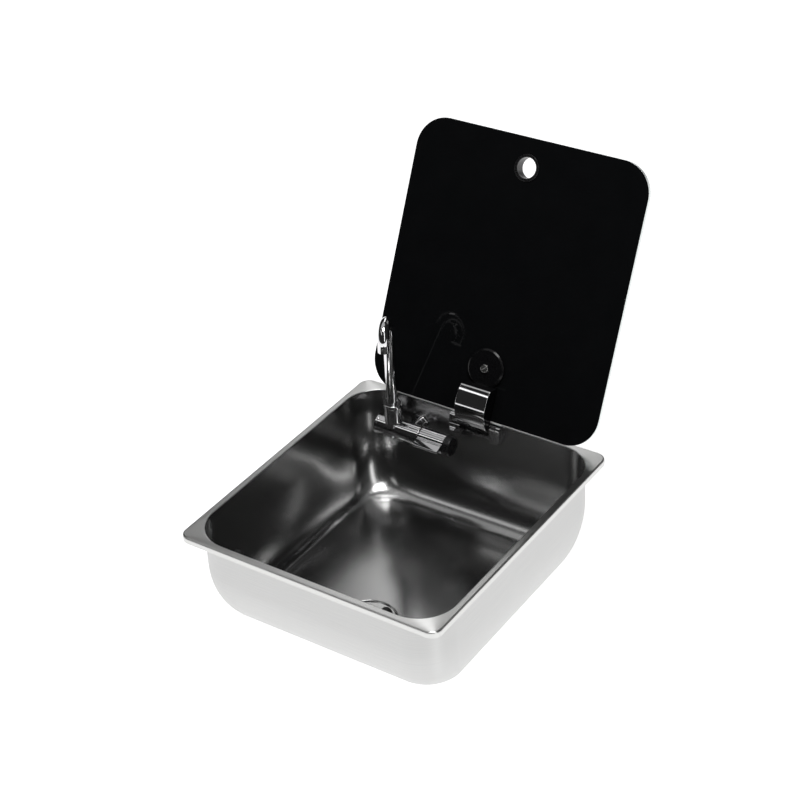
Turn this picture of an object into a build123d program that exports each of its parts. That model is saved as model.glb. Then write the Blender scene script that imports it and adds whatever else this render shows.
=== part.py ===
# Drop-in kitchen sink for a camper van: a deep-drawn steel pan with a tap that folds down
# into it and a dark glass lid on one hinge.
# Millimetres. +X runs to the right along the front, +Y to the back, +Z up. The origin is the
# centre of the worktop cut-out, in the plane of the worktop, where the foot of the rim stands.
from build123d import *
import math
import os

os.makedirs("parts", exist_ok=True)

# ---------------------------------------------------------------- driving dimensions
# Pan
sheet = 1.0
rim_width = 325.0
rim_depth = 354.0
rim_corner_r = 13.0
rim_lip = 8.0
rim_bend_r = 2.2
rim_flat = 8.3
hem_width = 2.4
hem_height = 2.2
opening_edge_r = 1.4
wall_corner_r = 43.0
floor_corner_r = 34.0
bowl_depth = 125.0
straight_wall = 47.0
side_draw_in = 31.0
front_draw_in = 60.0
rear_draw_in = 45.0
draw_steps = 8

# Waste outlet, in the floor near the front
drain_y = -68.0
drain_seat_r = 32.0
drain_seat_depth = 3.0
drain_hole_r = 26.0
strainer_fit = 0.3
strainer_sheet = 1.2
strainer_dish_fit = 0.8
strainer_dish_depth = 5.0
strainer_slot_r = 2.0
strainer_ring_r = 15.0
strainer_ring_count = 10
drain_gasket_h = 2.0
drain_gasket_r = 30.5
waste_flange_h = 2.5
waste_cup_r = 24.5
waste_cup_wall = 2.0
waste_cup_h = 25.0
spigot_r = 12.5
spigot_neck_r = 11.5
spigot_bore_r = 10.0
spigot_start = 34.0
spigot_length = 24.5
drain_screw_r = 3.0
drain_screw_head_r = 6.0
drain_screw_head_h = 2.5
drain_screw_length = 20.0
drain_post_r = 5.5

# Rubber buffers that the closed lid lies on
buffer_x = 94.0
buffer_r = 6.5
buffer_reach = 10.5
buffer_stem_r = 1.4
buffer_barb_r = 2.2
buffer_barb_h = 1.6
buffer_barb_taper = -20.0
wall_cut = 3.0

# Glass lid, given as it lies when it is shut
lid_width = 296.0
lid_depth = 320.4
lid_thickness = 5.0
lid_corner_r = 37.0
lid_edge_chamfer = 0.6
lid_back_gap = 13.7
lid_underside = 4.5
lid_open_angle = 115.3
buffer_gap = 0.3
finger_hole_x = -3.0
finger_hole_from_front = 33.5
finger_ring_bore_r = 11.8
finger_ring_wall = 1.8
finger_ring_lip = 1.6
finger_ring_front = 1.0
finger_ring_rear = 8.0

# Lid hinge
pivot_to_wall = 6.6
pivot_z = 6.2
pin_r = 2.5
pin_fit = 0.05
bush_wall = 1.0
bush_length = 9.0
knuckle_r = 5.0
arm_half_width = 18.8
cover_half_width = 19.4
cover_sheet = 1.6
cover_r = 36.6
cover_centre_y = -24.5
cover_centre_z = 12.1
cover_start = -36.0
cover_end = -120.3
clamp_disc_r = 23.0
clamp_disc_h = 4.0
clamp_in = 57.2
clamp_pad_h = 1.0
clamp_edge_r = 1.0
clamp_bore_r = 7.0
clamp_post_fit = 0.3
clamp_screw_r = 2.5
clamp_screw_head_r = 4.7
clamp_screw_head_h = 2.2
clamp_screw_slot = 1.2
clamp_screw_slot_angle = -45.0
clamp_screw_length = 13.0
arm_nose = 46.0
lug_inner_x = 19.9
lug_outer_x = 33.0
lug_r = 5.6
lug_foot_z = -12.0
bridge_top_z = -9.0
bridge_depth = 6.0
lug_screw_x = 26.5
lug_screw_z = -4.0
lug_screw_r = 2.5
lug_screw_depth = 4.0
lug_screw_head_r = 4.2
lug_screw_head_h = 2.4
lug_screw_socket_r = 2.0
backing_width = 70.0
backing_height = 22.0
backing_sheet = 1.5

# Folding tap
barrel_to_wall = 22.7
barrel_z = -26.0
barrel_r = 12.5
barrel_left_x = -125.0
elbow_joint_x = -97.0
knob_joint_x = -65.0
knob_end_x = -31.0
knob_cap_end_x = -22.5
turn_gap = 0.3
end_cap_length = 4.0
end_cap_plug_r = 9.0
end_cap_plug_length = 4.0
edge_round = 0.8
end_cap_round = 1.4
waterway_r = 3.0
inlet_bore_r = 4.0
elbow_spigot_r = 7.5
elbow_spigot_length = 11.0
seal_section_r = 0.9
seal_side_gap = 0.1
seal_first = 2.4
seal_pitch = 4.0
seal_count = 2
swivel_fit = 0.05
stub_x = -81.0
stub_r = 9.0
thread_r = 8.2
thread_length = 15.0
escutcheon_r = 12.0
escutcheon_h = 2.5
wall_gasket_h = 1.5
lock_nut_flats = 22.0
lock_nut_h = 6.0
inlet_tail_r = 6.0
inlet_tail_bore_r = 4.2
inlet_tail_length = 18.0
inlet_tail_seat_r = 5.4
inlet_tail_seat = 6.0

riser_x = -104.0
boss_r = 9.0
boss_height = 23.0
collar_r = 11.0
collar_body_r = 10.2
collar_ring_h = 4.0
collar_height = 35.5
collar_gap = 0.3
set_screw_angle = -25.0
set_screw_z = 30.0
set_screw_r = 2.0
set_screw_gap = 0.2
set_screw_boss_r = 3.4
set_screw_boss_reach = 13.2
set_screw_reach = 12.6
spout_r = 6.5
spout_bore_r = 5.2
spout_foot = 9.5
spout_rise = 98.0
spout_arch_r = 17.5
spout_drop = 6.4
spout_swivel = 25.0
groove_depth = 0.8
aerator_length = 7.0
aerator_lip = 0.8
aerator_hole_r = 0.7
aerator_ring_r = 2.8
aerator_hole_count = 6

cartridge_r = 8.5
cartridge_length = 16.0
spindle_r = 3.5
spindle_fit = 0.05
knob_skirt_wall = 2.2
knob_web = 8.0
knob_cap_r = 11.4
knob_cap_seat = 3.0
knob_cap_round = 1.5
knob_ring_h = 1.2
knob_ring_r = 12.1
knob_screw_r = 2.0
knob_screw_head_r = 5.0
knob_screw_head_h = 2.5
knob_screw_length = 9.0
lever_root_angle = 146.0
lever_reach = 12.5
lever_drop = 18.0
lever_thickness = 3.6
lever_rib_h = 0.55
lever_rib_width = 0.9
lever_rib_places = (0.9, 2.5)

# ---------------------------------------------------------------- places worked out from them
opening_width = rim_width - 2 * rim_flat
opening_depth = rim_depth - 2 * rim_flat
rear_wall_y = opening_depth / 2
front_wall_y = -opening_depth / 2
floor_z = rim_lip - bowl_depth
drain_seat_z = floor_z - drain_seat_depth
drain_under_z = drain_seat_z - sheet
draw_top_z = rim_lip - straight_wall

lid_rear_y = rear_wall_y - lid_back_gap
pivot_y = rear_wall_y - pivot_to_wall
buffer_z = lid_underside - buffer_gap - buffer_r

barrel_y = rear_wall_y - barrel_to_wall
stub_wall_y = rear_wall_y - barrel_y


def pan_section(step, skin):
    """Width, depth, corner radius, middle and height of the pan where its walls draw in."""
    turn = math.radians(90 * step / draw_steps)
    drawn_in = 1 - math.cos(turn)
    side, front, rear = (
        (draw + skin) * drawn_in - skin for draw in (side_draw_in, front_draw_in, rear_draw_in)
    )
    corner = wall_corner_r + skin - (wall_corner_r - floor_corner_r) * drawn_in
    height = draw_top_z - (draw_top_z - floor_z + skin) * math.sin(turn)
    width, depth = opening_width - 2 * side, opening_depth - front - rear
    return width, depth, corner, (front - rear) / 2, height


def x_plane(x, y=0.0, z=0.0):
    """Plane across the width: its own x runs to the back and its own y runs up."""
    return Plane(origin=(x, y, z), x_dir=(0, 1, 0), z_dir=(1, 0, 0))


def wall_plane(x, y, z):
    """Plane parallel to the rear wall whose normal points to the back."""
    return Plane(origin=(x, y, z), x_dir=(-1, 0, 0), z_dir=(0, 1, 0))


def finish(piece, name):
    """Name the finished piece and write it to its own file."""
    piece.part.label = name
    export_step(piece.part, f"parts/{name}.step")


# ---------------------------------------------------------------- pan
# The flat of the rim and its turned-down lip, hollow underneath.
with BuildPart() as rim_hollow:
    with BuildSketch(Plane.XY):
        RectangleRounded(rim_width - 2 * sheet, rim_depth - 2 * sheet, rim_corner_r - sheet)
    extrude(amount=rim_lip - sheet)
    fillet(rim_hollow.faces().sort_by(Axis.Z)[-1].edges(), rim_bend_r - sheet)

# Deep-drawn pan: rim, upright walls that draw in towards the floor, most at the front and
# least at the sides, and a pressed seat for the waste. Holes for the buffers, the hinge screws
# and the tap go through the walls.
with BuildPart() as sink_bowl:
    with BuildSketch(Plane.XY):
        RectangleRounded(rim_width, rim_depth, rim_corner_r)
    extrude(amount=rim_lip)
    fillet(sink_bowl.faces().sort_by(Axis.Z)[-1].edges(), rim_bend_r)
    add(rim_hollow.part, mode=Mode.SUBTRACT)
    with BuildSketch(Plane.XY):
        RectangleRounded(rim_width, rim_depth, rim_corner_r)
        RectangleRounded(
            rim_width - 2 * hem_width,
            rim_depth - 2 * hem_width,
            rim_corner_r - hem_width,
            mode=Mode.SUBTRACT,
        )
    extrude(amount=hem_height)
    for skin, mode in ((sheet, Mode.ADD), (0.0, Mode.SUBTRACT)):
        width, depth, corner, middle_y, height = pan_section(0, skin)
        with BuildSketch(Plane.XY.offset(height)):
            RectangleRounded(width, depth, corner)
        extrude(amount=rim_lip - skin / 2 - height, mode=mode)
        for step in range(draw_steps + 1):
            width, depth, corner, middle_y, height = pan_section(step, skin)
            with BuildSketch(Plane.XY.offset(height)):
                with Locations((0, middle_y)):
                    RectangleRounded(width, depth, corner)
        loft(mode=mode)
    fillet(sink_bowl.faces().sort_by(Axis.Z)[-1].inner_wires()[0].edges(), opening_edge_r)
    # Seat pressed down for the strainer
    with BuildSketch(Plane.XY.offset(drain_under_z)):
        with Locations((0, drain_y)):
            Circle(drain_seat_r + sheet)
    extrude(amount=drain_seat_depth + sheet / 2)
    with BuildSketch(Plane.XY.offset(drain_seat_z)):
        with Locations((0, drain_y)):
            Circle(drain_seat_r)
    extrude(amount=drain_seat_depth + sheet, mode=Mode.SUBTRACT)
    with BuildSketch(Plane.XY.offset(drain_under_z)):
        with Locations((0, drain_y)):
            Circle(drain_hole_r)
    extrude(amount=2 * sheet, mode=Mode.SUBTRACT)
    # Buffer holes in the front wall
    for side in (-1, 1):
        with BuildSketch(wall_plane(side * buffer_x, front_wall_y - wall_cut, buffer_z)):
            Circle(buffer_stem_r)
        extrude(amount=2 * wall_cut, mode=Mode.SUBTRACT)
    # Hinge screw holes and the tap hole in the rear wall
    for side in (-1, 1):
        with BuildSketch(wall_plane(side * lug_screw_x, rear_wall_y - wall_cut, lug_screw_z)):
            Circle(lug_screw_r)
        extrude(amount=2 * wall_cut, mode=Mode.SUBTRACT)
    with BuildSketch(wall_plane(stub_x, rear_wall_y - wall_cut, barrel_z)):
        Circle(thread_r)
    extrude(amount=2 * wall_cut, mode=Mode.SUBTRACT)
finish(sink_bowl, "sink_bowl")


# Rubber buffers: a round head inside the pan, a stem through the front wall and a barb that
# holds it from outside. The closed lid lies on the heads.
with BuildPart() as lid_buffers:
    for side in (-1, 1):
        with BuildSketch(wall_plane(side * buffer_x, front_wall_y, buffer_z)):
            Circle(buffer_r)
        extrude(amount=buffer_reach)
        with BuildSketch(wall_plane(side * buffer_x, front_wall_y - sheet - buffer_barb_h, buffer_z)):
            Circle(buffer_barb_r)
        extrude(amount=buffer_barb_h, taper=buffer_barb_taper)
        with BuildSketch(wall_plane(side * buffer_x, front_wall_y - sheet - buffer_barb_h, buffer_z)):
            Circle(buffer_stem_r)
        extrude(amount=sheet + 2 * buffer_barb_h)
    tip_edges = lid_buffers.edges().filter_by(GeomType.CIRCLE).group_by(Axis.Y)[-1]
    fillet(tip_edges, buffer_r / 2)
finish(lid_buffers, "lid_buffers")

# ---------------------------------------------------------------- waste outlet
# Steel strainer: a flat edge in the pressed seat, a dish with a ring of holes, and the hole
# for the screw that pulls the whole waste together.
dish_z = drain_seat_z - strainer_dish_depth
cup_bore_r = waste_cup_r - waste_cup_wall
strainer_dish_r = cup_bore_r - strainer_dish_fit
with BuildPart() as strainer:
    with BuildSketch(x_plane(0, drain_y)):
        with BuildLine():
            FilletPolyline(
                (0, dish_z + strainer_sheet),
                (strainer_dish_r - strainer_sheet, dish_z + strainer_sheet),
                (strainer_dish_r - strainer_sheet + strainer_fit, drain_seat_z + strainer_sheet),
                (drain_seat_r - strainer_fit, drain_seat_z + strainer_sheet),
                radius=strainer_sheet,
            )
            FilletPolyline(
                (0, dish_z),
                (strainer_dish_r, dish_z),
                (strainer_dish_r + strainer_fit, drain_seat_z),
                (drain_seat_r - strainer_fit, drain_seat_z),
                radius=strainer_sheet,
            )
            Line((0, dish_z), (0, dish_z + strainer_sheet))
            Line(
                (drain_seat_r - strainer_fit, drain_seat_z),
                (drain_seat_r - strainer_fit, drain_seat_z + strainer_sheet),
            )
        make_face()
    revolve(axis=Axis((0, drain_y, 0), (0, 0, 1)))
    with BuildSketch(Plane.XY.offset(dish_z)):
        with Locations((0, drain_y)):
            Circle(drain_screw_r)
            with PolarLocations(strainer_ring_r, strainer_ring_count):
                Circle(strainer_slot_r)
    extrude(amount=strainer_sheet, mode=Mode.SUBTRACT)
finish(strainer, "strainer")

with BuildPart() as drain_gasket:
    with BuildSketch(Plane.XY.offset(drain_under_z - drain_gasket_h)):
        with Locations((0, drain_y)):
            Circle(drain_gasket_r)
            Circle(drain_hole_r, mode=Mode.SUBTRACT)
    extrude(amount=drain_gasket_h)
finish(drain_gasket, "drain_gasket")

# Moulded waste body: a flange against the gasket, a cup, a post that takes the screw and a
# hose spigot that leaves to the back. The spigot's neck is narrower where it passes under the
# flange, so that the hose ends clear of the gasket.
waste_top_z = drain_under_z - drain_gasket_h
waste_foot_z = waste_top_z - waste_cup_h
spigot_z = waste_foot_z + spigot_r
with BuildPart() as waste_body:
    with BuildSketch(Plane.XY.offset(waste_top_z - waste_flange_h)):
        with Locations((0, drain_y)):
            Circle(drain_gasket_r)
    extrude(amount=waste_flange_h)
    with BuildSketch(Plane.XY.offset(waste_foot_z)):
        with Locations((0, drain_y)):
            Circle(waste_cup_r)
    extrude(amount=waste_cup_h)
    with BuildSketch(wall_plane(0, drain_y, spigot_z)):
        Circle(spigot_neck_r)
    extrude(amount=spigot_start)
    with BuildSketch(wall_plane(0, drain_y + spigot_start, spigot_z)):
        Circle(spigot_r)
    extrude(amount=spigot_length)
    with BuildSketch(Plane.XY.offset(waste_foot_z + waste_cup_wall)):
        with Locations((0, drain_y)):
            Circle(cup_bore_r)
    extrude(amount=waste_cup_h, mode=Mode.SUBTRACT)
    with BuildSketch(wall_plane(0, drain_y, spigot_z)):
        Circle(spigot_bore_r)
    extrude(amount=spigot_start + spigot_length, mode=Mode.SUBTRACT)
    with BuildSketch(Plane.XY.offset(waste_foot_z)):
        with Locations((0, drain_y)):
            Circle(drain_post_r)
    extrude(amount=dish_z - waste_foot_z)
    with BuildSketch(Plane.XY.offset(dish_z - drain_screw_length)):
        with Locations((0, drain_y)):
            Circle(drain_screw_r)
    extrude(amount=drain_screw_length, mode=Mode.SUBTRACT)
finish(waste_body, "waste_body")

# Domed screw from the strainer into the post.
screw_seat_z = dish_z + strainer_sheet
with BuildPart() as drain_screw:
    with BuildSketch(x_plane(0, drain_y)):
        with BuildLine():
            Polyline(
                (drain_screw_head_r, screw_seat_z),
                (drain_screw_r, screw_seat_z),
                (drain_screw_r, dish_z - drain_screw_length),
                (0, dish_z - drain_screw_length),
                (0, screw_seat_z + drain_screw_head_h),
            )
            TangentArc(
                (0, screw_seat_z + drain_screw_head_h),
                (drain_screw_head_r, screw_seat_z),
                tangent=(1, 0),
            )
        make_face()
    revolve(axis=Axis((0, drain_y, 0), (0, 0, 1)))
finish(drain_screw, "drain_screw")

# ---------------------------------------------------------------- glass lid
# The pieces that swing with the lid are drawn as they lie when it is shut, in a plane that
# turns back about the hinge pin by the opening angle.
open_rad = math.radians(lid_open_angle)
shut = Plane(
    origin=(0, pivot_y, pivot_z),
    x_dir=(1, 0, 0),
    z_dir=(0, math.sin(open_rad), math.cos(open_rad)),
)
shut_side = Plane(origin=shut.origin, x_dir=shut.y_dir, z_dir=(1, 0, 0))
lid_up = Axis(shut.origin, shut.z_dir)
glass_under = lid_underside - pivot_z
glass_over = glass_under + lid_thickness
glass_rear = lid_rear_y - pivot_y
clamp_y = glass_rear - clamp_in
finger_y = glass_rear - lid_depth + finger_hole_from_front
finger_hole_r = finger_ring_bore_r + finger_ring_wall

with BuildPart() as glass_lid:
    with BuildSketch(shut.offset(glass_under)):
        with Locations((0, glass_rear - lid_depth / 2)):
            RectangleRounded(lid_width, lid_depth, lid_corner_r)
        with Locations((finger_hole_x, finger_y)):
            Circle(finger_hole_r, mode=Mode.SUBTRACT)
        with Locations((0, clamp_y)):
            Circle(clamp_bore_r, mode=Mode.SUBTRACT)
    extrude(amount=lid_thickness)
    flats = glass_lid.faces().sort_by(lid_up)
    chamfer(flats[0].outer_wire().edges() + flats[-1].outer_wire().edges(), lid_edge_chamfer)
finish(glass_lid, "glass_lid")

# Moulded ring in the finger hole, with a thin lip below the glass and a raised rim above it.
with BuildPart() as finger_ring:
    with BuildSketch(Plane(origin=shut.from_local_coords((finger_hole_x, finger_y, 0)),
                           x_dir=shut.y_dir, z_dir=(1, 0, 0))):
        with BuildLine():
            Polyline(
                (finger_ring_bore_r, glass_under - finger_ring_front),
                (finger_hole_r + finger_ring_lip, glass_under - finger_ring_front),
                (finger_hole_r + finger_ring_lip, glass_under),
                (finger_hole_r, glass_under),
                (finger_hole_r, glass_over + finger_ring_rear),
                (finger_ring_bore_r, glass_over + finger_ring_rear),
                close=True,
            )
        make_face()
    revolve(axis=Axis(shut.from_local_coords((finger_hole_x, finger_y, 0)), shut.z_dir))
    fillet(finger_ring.edges().filter_by(GeomType.CIRCLE).sort_by(lid_up)[-2:], finger_ring_wall / 3)
finish(finger_ring, "finger_ring")

# ---------------------------------------------------------------- hinge
pad_face = glass_under - clamp_pad_h
disc_face = pad_face - clamp_disc_h


def on_cover(radius, angle):
    """Point on the curve of the hinge cover, seen from the side with the lid shut."""
    turn = math.radians(angle)
    return (cover_centre_y + radius * math.cos(turn), cover_centre_z + radius * math.sin(turn))


# Cast arm: a knuckle on the pin, a body that curves under the edge of the glass, and a round
# foot clamped to the glass.
inner_r = cover_r - cover_sheet
with BuildPart() as hinge_arm:
    with BuildSketch(shut_side):
        with BuildLine():
            start = on_cover(inner_r, cover_start)
            end = on_cover(inner_r, cover_end)
            Polyline(end, (-arm_nose, pad_face), (start[0], pad_face), start)
            ThreePointArc(start, on_cover(inner_r, (cover_start + cover_end) / 2), end)
        make_face()
        Circle(knuckle_r)
        Circle(pin_r + bush_wall, mode=Mode.SUBTRACT)
    extrude(amount=arm_half_width, both=True)
    with BuildSketch(shut.offset(disc_face)):
        with Locations((0, clamp_y)):
            Circle(clamp_disc_r)
    extrude(amount=clamp_disc_h)
    with BuildSketch(shut.offset(disc_face)):
        with Locations((0, clamp_y)):
            Circle(clamp_screw_r)
    extrude(amount=clamp_disc_h, mode=Mode.SUBTRACT)
finish(hinge_arm, "hinge_arm")

# Bright cover over the curved front of the arm.
with BuildPart() as hinge_cover:
    with BuildSketch(shut_side):
        with BuildLine():
            outer = CenterArc((cover_centre_y, cover_centre_z), cover_r, cover_start, cover_end - cover_start)
            inner = CenterArc((cover_centre_y, cover_centre_z), inner_r, cover_start, cover_end - cover_start)
            Line(outer @ 0, inner @ 0)
            Line(outer @ 1, inner @ 1)
        make_face()
    extrude(amount=cover_half_width, both=True)
    fillet(hinge_cover.edges().filter_by(Axis.X), cover_sheet / 3)
finish(hinge_cover, "hinge_cover")

# Rubber pads on both faces of the glass, round the clamp post.
with BuildPart() as clamp_pads:
    for level in (pad_face, glass_over):
        with BuildSketch(shut.offset(level)):
            with Locations((0, clamp_y)):
                Circle(clamp_disc_r - clamp_edge_r)
                Circle(clamp_bore_r, mode=Mode.SUBTRACT)
        extrude(amount=clamp_pad_h)
finish(clamp_pads, "clamp_pads")

# Clamp cap above the glass, with a post through it that takes the screw.
cap_base = glass_over + clamp_pad_h
post_r = clamp_bore_r - clamp_post_fit
with BuildPart() as clamp_cap:
    with BuildSketch(shut.offset(cap_base)):
        with Locations((0, clamp_y)):
            Circle(clamp_disc_r)
    extrude(amount=clamp_disc_h)
    fillet(clamp_cap.faces().sort_by(lid_up)[-1].edges(), clamp_disc_h / 2)
    with BuildSketch(shut.offset(pad_face)):
        with Locations((0, clamp_y)):
            Circle(post_r)
    extrude(amount=cap_base - pad_face)
    with BuildSketch(shut.offset(pad_face)):
        with Locations((0, clamp_y)):
            Circle(clamp_screw_r)
    extrude(amount=clamp_screw_length - clamp_disc_h, mode=Mode.SUBTRACT)
finish(clamp_cap, "clamp_cap")

# Slotted screw through the foot into the clamp post.
with BuildPart() as clamp_screw:
    with BuildSketch(shut.offset(disc_face)):
        with Locations((0, clamp_y)):
            Circle(clamp_screw_r)
    extrude(amount=clamp_screw_length)
    with BuildSketch(shut.offset(disc_face - clamp_screw_head_h)):
        with Locations((0, clamp_y)):
            Circle(clamp_screw_head_r)
    extrude(amount=clamp_screw_head_h)
    fillet(clamp_screw.faces().sort_by(lid_up)[0].edges(), clamp_screw_head_h / 3)
    with BuildSketch(shut.offset(disc_face - clamp_screw_head_h)):
        with Locations((0, clamp_y)):
            Rectangle(2 * clamp_screw_head_r, clamp_screw_slot, rotation=clamp_screw_slot_angle)
    extrude(amount=clamp_screw_head_h / 2, mode=Mode.SUBTRACT)
finish(clamp_screw, "clamp_screw")

# Plain bushes in both ends of the knuckle.
with BuildPart() as hinge_bushes:
    for side in (-1, 1):
        with BuildSketch(Plane(origin=(side * arm_half_width, pivot_y, pivot_z), x_dir=(0, 1, 0),
                               z_dir=(-side, 0, 0))):
            Circle(pin_r + bush_wall)
            Circle(pin_r + pin_fit, mode=Mode.SUBTRACT)
        extrude(amount=bush_length)
finish(hinge_bushes, "hinge_bushes")

# Bracket on the rear wall: two lugs that hold the pin, joined by a low bridge.
with BuildPart() as hinge_bracket:
    for side in (-1, 1):
        with BuildSketch(x_plane(side * (lug_inner_x + lug_outer_x) / 2, pivot_y, pivot_z)):
            Circle(lug_r)
            with BuildLine():
                Polyline(
                    (-lug_r, 0),
                    (-lug_r, lug_foot_z - pivot_z),
                    (pivot_to_wall, lug_foot_z - pivot_z),
                    (pivot_to_wall, 0),
                    close=True,
                )
            make_face()
            Circle(pin_r, mode=Mode.SUBTRACT)
        extrude(amount=(lug_outer_x - lug_inner_x) / 2, both=True)
    with BuildSketch(x_plane(0, rear_wall_y, 0)):
        with BuildLine():
            Polyline(
                (-bridge_depth, lug_foot_z),
                (0, lug_foot_z),
                (0, bridge_top_z),
                (-bridge_depth, bridge_top_z),
                close=True,
            )
        make_face()
    extrude(amount=lug_inner_x, both=True)
    for side in (-1, 1):
        with BuildSketch(wall_plane(side * lug_screw_x, rear_wall_y - lug_screw_depth, lug_screw_z)):
            Circle(lug_screw_r)
        extrude(amount=lug_screw_depth, mode=Mode.SUBTRACT)
finish(hinge_bracket, "hinge_bracket")

with BuildPart() as hinge_pin:
    with BuildSketch(x_plane(0, pivot_y, pivot_z)):
        Circle(pin_r)
    extrude(amount=lug_outer_x, both=True)
finish(hinge_pin, "hinge_pin")

# Backing plate outside the rear wall, and the two screws through it into the lugs.
outer_wall_y = rear_wall_y + sheet
with BuildPart() as backing_plate:
    with BuildSketch(wall_plane(0, outer_wall_y, lug_screw_z)):
        RectangleRounded(backing_width, backing_height, 2 * backing_sheet)
        with Locations((-lug_screw_x, 0), (lug_screw_x, 0)):
            Circle(lug_screw_r, mode=Mode.SUBTRACT)
    extrude(amount=backing_sheet)
finish(backing_plate, "backing_plate")

with BuildPart() as bracket_screws:
    for side in (-1, 1):
        with BuildSketch(wall_plane(side * lug_screw_x, rear_wall_y - lug_screw_depth, lug_screw_z)):
            Circle(lug_screw_r)
        extrude(amount=lug_screw_depth + sheet + backing_sheet)
        with BuildSketch(wall_plane(side * lug_screw_x, outer_wall_y + backing_sheet, lug_screw_z)):
            Circle(lug_screw_head_r)
            RegularPolygon(lug_screw_socket_r, 6, mode=Mode.SUBTRACT)
        extrude(amount=lug_screw_head_h)
finish(bracket_screws, "bracket_screws")

# ---------------------------------------------------------------- tap, fixed half
# Body: a barrel across the width with a valve bore on the right, a bore for the elbow's
# spigot on the left, and a threaded stub through the rear wall.
cartridge_seat_x = knob_joint_x - cartridge_length
spigot_end_x = elbow_joint_x + elbow_spigot_length
stub_end_y = rear_wall_y + sheet + thread_length
with BuildPart() as tap_body:
    with BuildSketch(x_plane(elbow_joint_x + turn_gap, barrel_y, barrel_z)):
        Circle(barrel_r)
    extrude(amount=knob_joint_x - elbow_joint_x - turn_gap)
    with BuildSketch(wall_plane(stub_x, barrel_y, barrel_z)):
        Circle(stub_r)
    extrude(amount=stub_wall_y - escutcheon_h)
    with BuildSketch(wall_plane(stub_x, barrel_y, barrel_z)):
        Circle(thread_r)
    extrude(amount=stub_wall_y + sheet + thread_length)
    with BuildSketch(x_plane(cartridge_seat_x, barrel_y, barrel_z)):
        Circle(cartridge_r)
    extrude(amount=cartridge_length, mode=Mode.SUBTRACT)
    with BuildSketch(x_plane(elbow_joint_x, barrel_y, barrel_z)):
        Circle(elbow_spigot_r + swivel_fit)
    extrude(amount=elbow_spigot_length + turn_gap, mode=Mode.SUBTRACT)
    with BuildSketch(x_plane(elbow_joint_x, barrel_y, barrel_z)):
        Circle(waterway_r)
    extrude(amount=cartridge_seat_x - elbow_joint_x, mode=Mode.SUBTRACT)
    with BuildSketch(wall_plane(stub_x, barrel_y, barrel_z)):
        Circle(inlet_bore_r)
    extrude(amount=stub_wall_y + sheet + thread_length, mode=Mode.SUBTRACT)
    with BuildSketch(wall_plane(stub_x, stub_end_y - inlet_tail_seat, barrel_z)):
        Circle(inlet_tail_seat_r)
    extrude(amount=inlet_tail_seat, mode=Mode.SUBTRACT)
finish(tap_body, "tap_body")

with BuildPart() as tap_escutcheon:
    with BuildSketch(wall_plane(stub_x, rear_wall_y - escutcheon_h, barrel_z)):
        Circle(escutcheon_r)
        Circle(thread_r, mode=Mode.SUBTRACT)
    extrude(amount=escutcheon_h)
    fillet(tap_escutcheon.faces().sort_by(Axis.Y)[0].outer_wire().edges(), edge_round)
finish(tap_escutcheon, "tap_escutcheon")

with BuildPart() as tap_gasket:
    with BuildSketch(wall_plane(stub_x, outer_wall_y, barrel_z)):
        Circle(escutcheon_r)
        Circle(thread_r, mode=Mode.SUBTRACT)
    extrude(amount=wall_gasket_h)
finish(tap_gasket, "tap_gasket")

with BuildPart() as tap_lock_nut:
    with BuildSketch(wall_plane(stub_x, outer_wall_y + wall_gasket_h, barrel_z)):
        RegularPolygon(lock_nut_flats / 2, 6, major_radius=False)
        Circle(thread_r, mode=Mode.SUBTRACT)
    extrude(amount=lock_nut_h)
finish(tap_lock_nut, "tap_lock_nut")

# Smooth tail that the water hose is pushed on. Its narrower root sits in the stub.
with BuildPart() as inlet_tail:
    with BuildSketch(wall_plane(stub_x, stub_end_y - inlet_tail_seat, barrel_z)):
        Circle(inlet_tail_seat_r)
    extrude(amount=inlet_tail_seat)
    with BuildSketch(wall_plane(stub_x, stub_end_y, barrel_z)):
        Circle(inlet_tail_r)
    extrude(amount=inlet_tail_length)
    with BuildSketch(wall_plane(stub_x, stub_end_y - inlet_tail_seat, barrel_z)):
        Circle(inlet_tail_bore_r)
    extrude(amount=inlet_tail_seat + inlet_tail_length, mode=Mode.SUBTRACT)
finish(inlet_tail, "inlet_tail")

# Valve cartridge, fixed in the body, with the bore that the spindle turns in.
with BuildPart() as valve_cartridge:
    with BuildSketch(x_plane(cartridge_seat_x, barrel_y, barrel_z)):
        Circle(cartridge_r)
    extrude(amount=cartridge_length)
    with BuildSketch(x_plane(cartridge_seat_x + cartridge_length / 2, barrel_y, barrel_z)):
        Circle(spindle_r + spindle_fit)
    extrude(amount=cartridge_length / 2, mode=Mode.SUBTRACT)
finish(valve_cartridge, "valve_cartridge")

# ---------------------------------------------------------------- tap, knob
ring_start_x = knob_joint_x
knob_start_x = ring_start_x + knob_ring_h + turn_gap
knob_cap_seat_x = knob_end_x - knob_cap_seat
spindle_end_x = knob_start_x + knob_web
with BuildPart() as knob_ring:
    with BuildSketch(x_plane(ring_start_x, barrel_y, barrel_z)):
        Circle(knob_ring_r)
        Circle(cartridge_r, mode=Mode.SUBTRACT)
    extrude(amount=knob_ring_h)
finish(knob_ring, "knob_ring")

# Knob: a hollow barrel with a web that takes the spindle, and a flat lever with two ribs at
# its root.
lever_turn = math.radians(lever_root_angle)
lever_root = (barrel_r * math.cos(lever_turn), barrel_r * math.sin(lever_turn))
lever_dip = math.radians(lever_drop)


def on_lever(out, up):
    """Point on the section of the lever, measured out from its root and up from its top face."""
    return (
        lever_root[0] - out * math.cos(lever_dip) - up * math.sin(lever_dip),
        lever_root[1] - out * math.sin(lever_dip) + up * math.cos(lever_dip),
    )


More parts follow.
